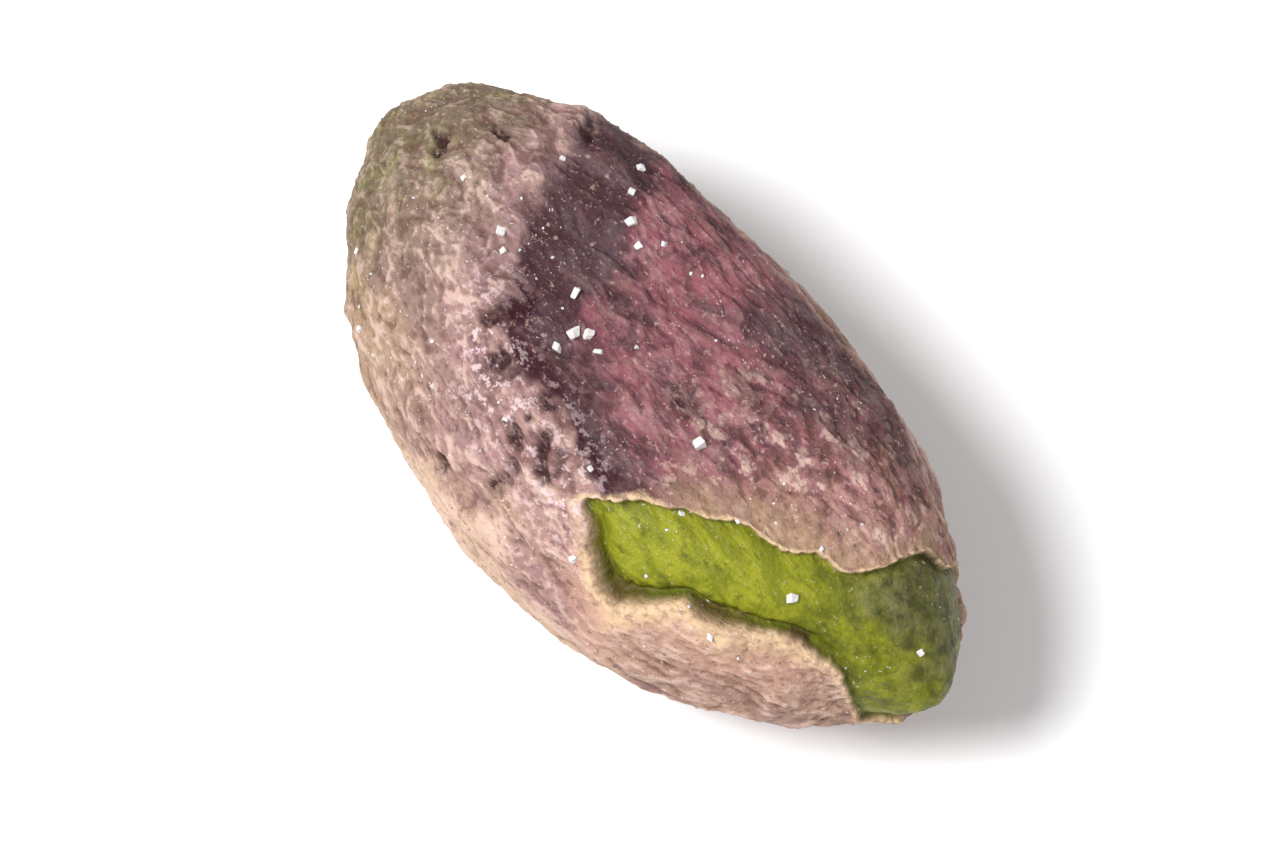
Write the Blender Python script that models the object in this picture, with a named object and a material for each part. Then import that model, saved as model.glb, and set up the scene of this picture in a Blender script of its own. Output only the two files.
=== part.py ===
"""One shelled pistachio kernel, whole, lying on its back on a small flat spot.

Metres, +Z up, X along the kernel from its blunt base to its narrower tip. The origin is the middle of
the flat spot that it rests on. The seed is one solid: two cotyledons under one papery skin, with the
furrow of the seam between them, a shallow dish in the upper face, the long tear in the skin beside the
seam, the scar where the stalk joined at the base and the nib of the rootlet at the tip.

The shape is worked out in the kernel's own axes: x to the tip, y to the straighter flank, z out of the
dished face. A last step rolls it to the way it lies.
"""

import math

import bmesh
import bpy
import numpy as np
from mathutils import Matrix, Vector, noise

MM = 0.001

# The whole kernel
LENGTH = 17.0 * MM
WIDTH = 8.7 * MM
THICKNESS = 8.2 * MM
TIP_TAPER = 0.06  # share by which the girth falls from the middle to the tip, and grows to the base
POINTED_ENDS = 0.24  # share by which the ends are slimmer than an ellipsoid's
BOW = 0.75 * MM  # the ends lie this far towards the straighter flank

# The way it lies, and the flat spot under it
ROLL = math.radians(14.8)
REST_HEIGHT = 3.98 * MM  # from the flat spot up to the kernel's middle
FLAT_SPOT_AT = (-0.20 * MM, 0.10 * MM)  # the spot's middle, seen from the kernel's middle

# Blunt sides: the way each one faces, how much it takes off the round form, and how softly
FACETS = (
    (Vector((0.05, 0.30, 0.95)), 0.42 * MM),
    (Vector((-0.05, -0.75, -0.66)), 0.24 * MM),
)
FACET_SOFTNESS = 0.40 * MM

# The dish in the upper face, and the rim round its base end: places along the kernel and across it
DISH_AT = (1.1 * MM, 1.3 * MM)
DISH_HALF_LENGTH = 4.8 * MM
DISH_HALF_WIDTH = 2.2 * MM
DISH_DEPTH = 0.28 * MM
DISH_FALL = 1.5  # a larger power makes the dish's floor flatter and its sides steeper
DISH_RIM_ALONG = (-4.8 * MM, -4.0 * MM, -3.5 * MM, -3.0 * MM, -2.4 * MM, -1.6 * MM, -0.2 * MM, 1.5 * MM)
DISH_RIM_ACROSS = (3.0 * MM, 1.5 * MM, 0.5 * MM, -0.1 * MM, -0.5 * MM, -0.85 * MM, -0.95 * MM, -1.4 * MM)
RIM_HEIGHT = 0.14 * MM
RIM_HALF_WIDTH = 0.70 * MM

# The tear in the skin: where its lower and upper edges lie across the kernel, at places along it
TEAR_ALONG = (1.3 * MM, 2.1 * MM, 3.0 * MM, 4.0 * MM, 5.2 * MM, 6.2 * MM, 6.8 * MM, 8.2 * MM)
TEAR_LOWER = (-2.05 * MM, -2.5 * MM, -2.65 * MM, -2.0 * MM, -1.4 * MM, -0.75 * MM, -0.45 * MM, -0.4 * MM)
TEAR_UPPER = (-1.95 * MM, -1.05 * MM, -0.45 * MM, 0.0 * MM, 0.65 * MM, 1.35 * MM, 3.2 * MM, 4.2 * MM)
TEAR_TURNS_UNDER = -0.6 * MM  # at the tip the tear ends this far under the kernel's middle
TEAR_DEPTH = 0.16 * MM
TEAR_EDGE = 0.45 * MM
CREVICE_DEPTH = 0.28 * MM
CREVICE_HALF_WIDTH = 0.42 * MM
LIP_HEIGHT = 0.18 * MM
LIP_HALF_WIDTH = 0.55 * MM
LIP_FADES = (6.0 * MM, 7.8 * MM)  # the stretch near the tip where lip and crevice run out

# The seam between the cotyledons on the underside: a plane through the long axis, leaning from z to -y
SEAM_LEAN = math.radians(27.0)
SEAM_HALF_WIDTH = 0.55 * MM
SEAM_DEPTH = 0.26 * MM
SEAM_WANDER = 0.35 * MM
SEAM_WANDER_LENGTH = 3.0 * MM
SEAM_SHIFT = Vector((0.0, 7.3, 0.0))  # picks one wandering line out of the noise
SEAM_SIDE = (-0.1, 0.4)  # how far a direction turns to the underside where the furrow starts and is full

# The nib at the tip and the scar at the base
NIB_AIM = Vector((1.0, -0.05, 0.0)).normalized()
NIB_SPREAD = 0.22
NIB_HEIGHT = 0.24 * MM
SCAR_AIM = Vector((-0.93, 0.02, -0.36)).normalized()
SCAR_SPREAD = 0.16
SCAR_DEPTH = 0.28 * MM
SCAR_RIM_HEIGHT = 0.12 * MM
SCAR_RIM_AT = 1.6 * SCAR_SPREAD
SCAR_RIM_SPREAD = 0.6 * SCAR_SPREAD

# Lumps and the larger wrinkles of the dried skin: size along and across the kernel, height, and a shift
# that picks one pattern out of the noise
LUMP_LENGTH = 6.5 * MM
LUMP_WIDTH = 3.6 * MM
LUMP_HEIGHT = 0.22 * MM
LUMP_SHIFT = Vector((3.7, 1.1, 5.9))
WRINKLE_LENGTH = 4.2 * MM
WRINKLE_WIDTH = 1.25 * MM
WRINKLE_HEIGHT = 0.20 * MM
WRINKLE_SHIFT = Vector((9.2, 4.4, 2.8))
WRINKLE_LEVEL = 0.3  # where the noise is this far from 0, a wrinkle neither rises nor sinks
FLESH_IS_SMOOTHER = 0.7

SPHERE_LEVEL = 5  # 5120 triangles
SMALLEST_EDGE = 0.03 * MM
SKIN_COLOUR = (0.50, 0.335, 0.265, 1.0)
SKIN_ROUGHNESS = 0.72


def clear_scene():
    for obj in list(bpy.data.objects):
        bpy.data.objects.remove(obj)


def smooth_step(low, high, value):
    share = min(1.0, max(0.0, (value - low) / (high - low)))
    return share * share * (3.0 - 2.0 * share)


def bell(value, spread):
    return math.exp(-((value / spread) ** 2))


def curve(place, along, across):
    """A smooth curve through a few points, read at one place. It runs straight on past its ends."""
    slopes = np.gradient(across, along)
    left = min(max(int(np.searchsorted(along, place)) - 1, 0), len(along) - 2)
    gap = along[left + 1] - along[left]
    share = min(1.0, max(0.0, (place - along[left]) / gap))
    bend = share * share * (3.0 - 2.0 * share)
    smooth = across[left] * (1.0 - bend) + across[left + 1] * bend
    smooth += gap * slopes[left] * share * (1.0 - share) ** 2
    smooth -= gap * slopes[left + 1] * share**2 * (1.0 - share)
    return smooth + slopes[0] * min(0.0, place - along[0]) + slopes[-1] * max(0.0, place - along[-1])


def bow_at(along):
    return BOW * along * along


def plump_form(aim):
    """The round form: an ellipsoid with slimmer ends, a narrower tip and a bowed axis."""
    girth = (1.0 - TIP_TAPER * aim.x) * (1.0 - POINTED_ENDS * aim.x**4)
    return Vector(
        (
            0.5 * LENGTH * aim.x,
            0.5 * WIDTH * aim.y * girth + bow_at(aim.x),
            0.5 * THICKNESS * aim.z * girth,
        )
    )


def reach(way):
    """How far the ellipsoid goes out in the direction that a facet faces."""
    return Vector((LENGTH * way.x, WIDTH * way.y, THICKNESS * way.z)).length * 0.5


def faceted(point):
    """The round form with its blunt sides: each facet is a soft cut by a plane."""
    for facing, taken in FACETS:
        way = facing.normalized()
        past = (point.dot(way) - reach(way) + taken) / FACET_SOFTNESS
        point = point - way * FACET_SOFTNESS * math.log1p(math.exp(past))
    return point


def rim_distance(point):
    """Distance from the rim of the dish, seen square to the face, positive inside the dish."""
    return point.y - curve(point.x, DISH_RIM_ALONG, DISH_RIM_ACROSS)


def tear_edges(point):
    """Distances inside the tear's lower edge and inside its upper edge, seen square to the face."""
    lower = curve(point.x, TEAR_ALONG, TEAR_LOWER)
    upper = curve(point.x, TEAR_ALONG, TEAR_UPPER)
    return point.y - lower, upper - point.y


def upper_side(point):
    """1 on the upper side, 0 on the underside, with a soft change at the tear's end under the tip."""
    return smooth_step(TEAR_TURNS_UNDER - TEAR_EDGE, TEAR_TURNS_UNDER + TEAR_EDGE, point.z)


def tear_share(point):
    """1 where the skin is torn away, 0 where it is whole."""
    from_lower, from_upper = tear_edges(point)
    begun = smooth_step(TEAR_ALONG[0], TEAR_ALONG[1], point.x)
    inside = smooth_step(0.0, TEAR_EDGE, from_lower) * smooth_step(0.0, TEAR_EDGE, from_upper)
    return inside * begun * upper_side(point)


def tear_relief(point):
    """The sunk flesh, the crevice along the tear's lower edge and the lip of skin below it."""
    from_lower = tear_edges(point)[0]
    standing = smooth_step(TEAR_ALONG[0] - TEAR_EDGE, TEAR_ALONG[1], point.x) * upper_side(point)
    standing *= 1.0 - smooth_step(LIP_FADES[0], LIP_FADES[1], point.x)
    crevice = CREVICE_DEPTH * bell(from_lower - 0.5 * CREVICE_HALF_WIDTH, CREVICE_HALF_WIDTH)
    lip = LIP_HEIGHT * bell(from_lower + LIP_HALF_WIDTH, LIP_HALF_WIDTH)
    return (lip - crevice) * standing - TEAR_DEPTH * tear_share(point)


def dish_relief(point):
    """The dish in the upper face and the low rim round its base end."""
    if point.z < 0.0:
        return 0.0
    along = (point.x - DISH_AT[0]) / DISH_HALF_LENGTH
    across = (point.y - DISH_AT[1]) / DISH_HALF_WIDTH
    dish = DISH_DEPTH * math.exp(-((along * along + across * across) ** DISH_FALL))
    rim = RIM_HEIGHT * bell(rim_distance(point) + RIM_HALF_WIDTH, RIM_HALF_WIDTH)
    rim *= smooth_step(0.0, 2.0 * RIM_HALF_WIDTH, point.z)
    rim *= 1.0 - smooth_step(DISH_RIM_ALONG[-2], DISH_RIM_ALONG[-1], point.x)
    return rim - dish


def seam_relief(aim, point):
    """The furrow of the seam along the underside, from the base to the tip."""
    wander = SEAM_WANDER * noise.noise(Vector((point.x / SEAM_WANDER_LENGTH, 0.0, 0.0)) + SEAM_SHIFT)
    off_axis = point.y - bow_at(aim.x)
    across = off_axis * math.cos(SEAM_LEAN) + point.z * math.sin(SEAM_LEAN) + wander
    under = smooth_step(*SEAM_SIDE, aim.y * math.sin(SEAM_LEAN) - aim.z * math.cos(SEAM_LEAN))
    return -SEAM_DEPTH * under * bell(across, SEAM_HALF_WIDTH)


def end_relief(aim):
    """The nib at the tip, and the sunk scar with its rim at the base."""
    nib = NIB_HEIGHT * bell((aim - NIB_AIM).length, NIB_SPREAD)
    from_scar = (aim - SCAR_AIM).length
    scar = -SCAR_DEPTH * bell(from_scar, SCAR_SPREAD)
    rim = SCAR_RIM_HEIGHT * bell(from_scar - SCAR_RIM_AT, SCAR_RIM_SPREAD)
    return nib + scar + rim


def skin_relief(point):
    """Broad lumps, and wrinkles that run along the kernel."""
    lump_place = Vector((point.x / LUMP_LENGTH, point.y / LUMP_WIDTH, point.z / LUMP_WIDTH))
    lumps = LUMP_HEIGHT * noise.noise(lump_place + LUMP_SHIFT)
    wrinkle_place = Vector((point.x / WRINKLE_LENGTH, point.y / WRINKLE_WIDTH, point.z / WRINKLE_WIDTH))
    wrinkles = WRINKLE_HEIGHT * (WRINKLE_LEVEL - abs(noise.noise(wrinkle_place + WRINKLE_SHIFT)))
    return lumps + wrinkles


def kernel_point(aim):
    """The point of the kernel's surface that a unit direction leads to, in the kernel's own axes."""
    point = faceted(plump_form(aim))
    outward = Vector((aim.x / LENGTH, aim.y / WIDTH, aim.z / THICKNESS)).normalized()
    relief = seam_relief(aim, point) + dish_relief(point) + tear_relief(point) + end_relief(aim)
    relief += (1.0 - FLESH_IS_SMOOTHER * tear_share(point)) * skin_relief(point)
    return point + outward * relief


def lying(point):
    """From the kernel's own axes to the way it lies, with the flat spot's middle at the origin."""
    rolled = Matrix.Rotation(ROLL, 3, "X") @ point
    return rolled + Vector((-FLAT_SPOT_AT[0], -FLAT_SPOT_AT[1], REST_HEIGHT))


def cut_flat_spot(bm):
    """Slices the underside off level with the surface and closes it with one flat face."""
    geometry = bm.verts[:] + bm.edges[:] + bm.faces[:]
    bmesh.ops.bisect_plane(bm, geom=geometry, plane_co=(0, 0, 0), plane_no=(0, 0, 1), clear_inner=True)
    rim = [edge for edge in bm.edges if edge.is_boundary]
    bmesh.ops.contextual_create(bm, geom=rim)
    bmesh.ops.remove_doubles(bm, verts=bm.verts[:], dist=SMALLEST_EDGE)
    bmesh.ops.recalc_face_normals(bm, faces=bm.faces[:])


def skin_material():
    material = bpy.data.materials.new("seed_skin")
    material.use_nodes = True
    shader = material.node_tree.nodes["Principled BSDF"]
    shader.inputs["Base Color"].default_value = SKIN_COLOUR
    shader.inputs["Roughness"].default_value = SKIN_ROUGHNESS
    shader.inputs["Metallic"].default_value = 0.0
    return material


def build_kernel():
    bm = bmesh.new()
    bmesh.ops.create_icosphere(bm, subdivisions=SPHERE_LEVEL, radius=1.0)
    for vert in bm.verts:
        vert.co = lying(kernel_point(vert.co.normalized()))
    cut_flat_spot(bm)
    mesh = bpy.data.meshes.new("kernel")
    bm.to_mesh(mesh)
    bm.free()
    mesh.shade_smooth()
    mesh.materials.append(skin_material())
    kernel = bpy.data.objects.new("kernel", mesh)
    bpy.context.scene.collection.objects.link(kernel)
    return kernel


clear_scene()
build_kernel()
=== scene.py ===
"""The looks of one shelled, salted pistachio kernel that lies on its back with its dished face up.

The seed is one fine mesh. Its form follows the solid kernel's own law, worked out in the kernel's axes:
x to the narrower tip, y to the straighter flank, z out of the dished face. Finer relief is added to it:
the wrinkles and grain of the dried skin, its pits, and the ragged, curled edges of the tear that leaves
green flesh bare. Salt grains lie on it as a piece of their own.
"""

import math
import random

import bmesh
import bpy
import numpy as np
from mathutils import Euler, Matrix, Vector, noise
from mathutils.bvhtree import BVHTree


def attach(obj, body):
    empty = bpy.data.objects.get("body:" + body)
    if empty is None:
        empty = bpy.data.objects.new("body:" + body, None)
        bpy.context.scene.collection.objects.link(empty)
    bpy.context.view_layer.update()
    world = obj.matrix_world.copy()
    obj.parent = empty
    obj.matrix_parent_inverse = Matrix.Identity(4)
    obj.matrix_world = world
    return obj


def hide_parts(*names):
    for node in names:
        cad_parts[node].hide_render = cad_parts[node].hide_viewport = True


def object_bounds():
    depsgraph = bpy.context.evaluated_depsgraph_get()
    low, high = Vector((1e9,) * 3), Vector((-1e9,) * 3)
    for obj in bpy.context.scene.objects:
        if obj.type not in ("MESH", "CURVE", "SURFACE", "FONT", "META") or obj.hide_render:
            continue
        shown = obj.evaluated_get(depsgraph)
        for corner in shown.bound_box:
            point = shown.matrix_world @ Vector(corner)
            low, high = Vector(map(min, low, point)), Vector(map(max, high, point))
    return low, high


MM = 0.001

# The whole kernel, as in the solid
LENGTH = 17.0 * MM
WIDTH = 8.7 * MM
THICKNESS = 8.2 * MM
TIP_TAPER = 0.06
POINTED_ENDS = 0.24
BOW = 0.75 * MM
ROLL = math.radians(14.8)
REST_HEIGHT = 3.98 * MM
FLAT_SPOT_AT = (-0.20 * MM, 0.10 * MM)
FACETS = (
    ((0.05, 0.30, 0.95), 0.42 * MM),
    ((-0.05, -0.75, -0.66), 0.24 * MM),
)
FACET_SOFTNESS = 0.40 * MM

# The dish in the upper face and the rim round its base end, as in the solid
DISH_AT = (1.1 * MM, 1.3 * MM)
DISH_HALF_LENGTH = 4.8 * MM
DISH_HALF_WIDTH = 2.2 * MM
DISH_DEPTH = 0.28 * MM
DISH_FALL = 1.5
DISH_RIM_ALONG = (-4.8 * MM, -4.0 * MM, -3.5 * MM, -3.0 * MM, -2.4 * MM, -1.6 * MM, -0.2 * MM, 1.5 * MM)
DISH_RIM_ACROSS = (3.0 * MM, 1.5 * MM, 0.5 * MM, -0.1 * MM, -0.5 * MM, -0.85 * MM, -0.95 * MM, -1.4 * MM)
RIM_HEIGHT = 0.14 * MM
RIM_HALF_WIDTH = 0.70 * MM

# The tear in the skin, at most about half a millimetre from the solid's, with the sharper edges that this
# finer mesh can hold
TEAR_ALONG = (1.3 * MM, 2.1 * MM, 3.2 * MM, 4.0 * MM, 5.2 * MM, 6.2 * MM, 6.8 * MM, 8.2 * MM)
TEAR_LOWER = (-2.05 * MM, -2.3 * MM, -2.68 * MM, -1.93 * MM, -1.4 * MM, -0.75 * MM, -0.50 * MM, -0.95 * MM)
TEAR_UPPER = (-2.0 * MM, -1.17 * MM, -0.42 * MM, 0.0 * MM, 0.65 * MM, 1.35 * MM, 3.2 * MM, 4.2 * MM)
TEAR_TURNS_UNDER = -0.6 * MM
TEAR_DEPTH = 0.15 * MM
TEAR_EDGE = 0.05 * MM
TEAR_CORNER = 0.12 * MM  # how softly one edge of the tear turns into the next
FLESH_SWELL = 0.10 * MM  # how far the bare flesh swells back up in the middle of the tear
FLESH_SWELL_WIDTH = 0.8 * MM
EDGE_CURL = 0.05 * MM
EDGE_CURL_WIDTH = 0.09 * MM
CREVICE_DEPTH = 0.20 * MM
CREVICE_HALF_WIDTH = 0.12 * MM
CREVICE_AT = 0.9 * CREVICE_HALF_WIDTH  # in from the tear's lower edge
LIP_HEIGHT = 0.18 * MM
LIP_HALF_WIDTH = 0.50 * MM
LIP_AT = 0.5 * LIP_HALF_WIDTH  # out from the tear's lower edge
LIP_STARTS = 0.4 * MM  # the lip starts to rise this far before the tear, towards the base
LIP_FADES = (6.0 * MM, 7.8 * MM)

# How ragged the tear's edges are: the size of the bites, how far they reach, and where their noise is read
BITE_SIZE = 0.75 * MM
BITE_REACH = 0.24 * MM
BITE_SHIFT = (2.2, 8.1, 0.4)
NICK_SIZE = 0.32 * MM
NICK_REACH = 0.15 * MM
NICK_SHIFT = (5.2, 1.7, 3.3)
NICK_LEVEL = 0.2
LOWER_EDGE_CALMER = 0.8
FAR_SIDE = (1.6 * MM, 2.6 * MM)  # across the kernel, where the tear goes over to its hidden flank
FAR_BITE_SIZE = 1.3 * MM
FAR_BITE_REACH = 1.4 * MM
FAR_BITE_SHIFT = (4.9, 3.8, 6.4)
UNDER_BITE_REACH = 0.7 * MM

# The seam on the underside, the nib at the tip and the scar at the base, as in the solid
SEAM_LEAN = math.radians(27.0)
SEAM_HALF_WIDTH = 0.55 * MM
SEAM_DEPTH = 0.26 * MM
SEAM_WANDER = 0.35 * MM
SEAM_WANDER_LENGTH = 3.0 * MM
SEAM_SHIFT = (0.0, 7.3, 0.0)
SEAM_SIDE = (-0.1, 0.4)
NIB_AIM = (1.0, -0.05, 0.0)
NIB_SPREAD = 0.22
NIB_HEIGHT = 0.24 * MM
SCAR_AIM = (-0.93, 0.02, -0.36)
SCAR_SPREAD = 0.16
SCAR_DEPTH = 0.28 * MM
SCAR_RIM_HEIGHT = 0.12 * MM
SCAR_RIM_AT = 1.6 * SCAR_SPREAD
SCAR_RIM_SPREAD = 0.6 * SCAR_SPREAD

# Lumps and larger wrinkles, as in the solid
LUMP_SIZE = (6.5 * MM, 3.6 * MM, 3.6 * MM)
LUMP_HEIGHT = 0.22 * MM
LUMP_SHIFT = (3.7, 1.1, 5.9)
WRINKLE_SIZE = (4.2 * MM, 1.25 * MM, 1.25 * MM)
WRINKLE_HEIGHT = 0.20 * MM
WRINKLE_SHIFT = (9.2, 4.4, 2.8)
WRINKLE_LEVEL = 0.3
FLESH_IS_SMOOTHER = 0.7

# A slight swelling of the rounder flank, which the solid doesn't have
FLANK_SWELL = 0.15 * MM
FLANK_SWELL_ACROSS = (-2.4 * MM, -4.0 * MM)
FLANK_SWELL_AT = 0.6 * MM
FLANK_SWELL_LENGTH = 3.0 * MM

# Fine relief of the skin: blob size along x, y and z, height, and where the noise is read
SWELL_SIZE = (1.9 * MM, 0.80 * MM, 0.80 * MM)
SWELL_HEIGHT = 0.10 * MM
SWELL_SHIFT = (1.3, 7.7, 4.1)
VEIN_SIZE = (2.6 * MM, 0.85 * MM, 0.85 * MM)
VEIN_HEIGHT = 0.048 * MM
VEIN_SHIFT = (6.1, 2.9, 8.8)
FOLD_SIZE = (0.95 * MM, 0.42 * MM, 0.42 * MM)
FOLD_HEIGHT = 0.036 * MM
FOLD_SHIFT = (2.7, 6.3, 0.2)
FURROW_SIZE = (1.3 * MM, 0.50 * MM, 0.50 * MM)
FURROW_DEPTH = 0.045 * MM
FURROW_SHIFT = (9.4, 0.8, 3.6)
CRUMPLE_SIZE = (0.40 * MM, 0.27 * MM, 0.27 * MM)
CRUMPLE_HEIGHT = 0.034 * MM
CRUMPLE_SHIFT = (5.5, 5.1, 7.2)
GRAIN_SIZE = (0.16 * MM, 0.12 * MM, 0.12 * MM)
GRAIN_HEIGHT = 0.022 * MM
GRAIN_SHIFT = (4.4, 0.9, 7.2)
FOLD_SHARP = 0.09  # how sharp veins, folds, furrows and crumples are
WARP_SIZE = 1.0 * MM
WARP_REACH = 0.35 * MM
WARP_SHIFTS = ((0.5, 2.0, 5.0), (3.5, 2.0, 5.0), (7.5, 2.0, 5.0))
FLESH_LINE_SIZE = (1.3 * MM, 0.25 * MM, 0.25 * MM)
FLESH_LINE_HEIGHT = 0.030 * MM
FLESH_LINE_SHIFT = (0.7, 3.1, 9.4)
FLESH_GRAIN_HEIGHT = 0.5 * GRAIN_HEIGHT
FLESH_CRUMPLE_HEIGHT = 0.4 * CRUMPLE_HEIGHT

# How much swells, veins, folds, furrows, crumples and grain count where colours follow the skin's height,
# and how that height is spread from 0 to 1: where level skin lies, and the share of the relief
HEIGHT_SHARES = (0.3, 0.8, 0.7, -1.1, 0.7, 0.6)
HEIGHT_LEVEL = 0.42
HEIGHT_RANGE = 0.50

# Deeper pits, most of them along the rim of the dish: where they lie along and across the kernel, and
# how wide each is, as a share of the pit's radius below
PITS_AT = (
    (-1.90 * MM, -1.27 * MM, 1.3),
    (-2.83 * MM, -0.77 * MM, 0.9),
    (-2.62 * MM, -0.23 * MM, 1.1),
    (-0.59 * MM, -2.08 * MM, 1.1),
    (-0.09 * MM, -1.64 * MM, 1.1),
    (0.33 * MM, -2.02 * MM, 1.0),
    (-0.32 * MM, -2.91 * MM, 0.9),
    (-0.62 * MM, -1.57 * MM, 0.8),
    (-0.64 * MM, -1.08 * MM, 0.8),
    (-0.20 * MM, -2.44 * MM, 0.7),
    (0.39 * MM, -1.58 * MM, 0.7),
    (-1.61 * MM, -3.50 * MM, 0.9),
    (-4.90 * MM, 3.30 * MM, 0.9),
    (-5.88 * MM, 1.97 * MM, 0.9),
    (-6.69 * MM, 0.90 * MM, 1.0),
)
PIT_RADIUS = 0.28 * MM
PIT_FLOOR_RADIUS = 0.09 * MM
PIT_LENGTHENED = 1.3  # how much longer a pit is along the kernel than across it
PIT_EDGE_SIZE = 0.27 * MM
PIT_EDGE_REACH = 0.24 * MM
PIT_EDGE_SHIFT = (8.3, 5.5, 1.6)
PIT_DEPTH = 0.11 * MM

# The mesh: a sphere of triangles, split once more where it shows from above and again along the tear
SPHERE_LEVEL = 7
SHOWN_FROM = math.cos(math.radians(74.0))
TEAR_BAND = 0.14 * MM


def smooth_step(low, high, value):
    share = np.clip((value - low) / (high - low), 0.0, 1.0)
    return share * share * (3.0 - 2.0 * share)


def bell(value, spread):
    return np.exp(-((value / spread) ** 2))


def between(pair, share):
    return pair[0] + (pair[1] - pair[0]) * share


def soft_least(values, softness):
    """The least of several arrays, with a rounded change from one to the next."""
    return -softness * np.log(sum(np.exp(-value / softness) for value in values))


def unit(way):
    way = np.asarray(way, dtype=float)
    return way / np.linalg.norm(way, axis=-1, keepdims=True)


def blobs(points, size, shift):
    """Smooth noise, about -0.7 to 0.7, at each point. The size of its blobs is one number or three."""
    places = points / np.array(size) + np.array(shift)
    return np.array([noise.noise(Vector(place)) for place in places.tolist()])


def bend_lines(points, size, shift):
    """1 along thin winding lines, about 0 between them: where smooth noise changes its sign."""
    return np.exp(-np.abs(blobs(points, size, shift)) / FOLD_SHARP)


def curve(places, along, across):
    """A smooth curve through a few points, read at each place. It runs straight on past its ends."""
    along, across = np.array(along), np.array(across)
    slopes = np.gradient(across, along)
    held = np.clip(places, along[0], along[-1])
    left = np.clip(np.searchsorted(along, held) - 1, 0, len(along) - 2)
    gap = along[left + 1] - along[left]
    share = (held - along[left]) / gap
    bend = share * share * (3.0 - 2.0 * share)
    smooth = across[left] * (1.0 - bend) + across[left + 1] * bend
    smooth += gap * slopes[left] * share * (1.0 - share) ** 2
    smooth -= gap * slopes[left + 1] * share**2 * (1.0 - share)
    smooth += slopes[0] * np.minimum(places - along[0], 0.0)
    return smooth + slopes[-1] * np.maximum(places - along[-1], 0.0)


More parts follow.
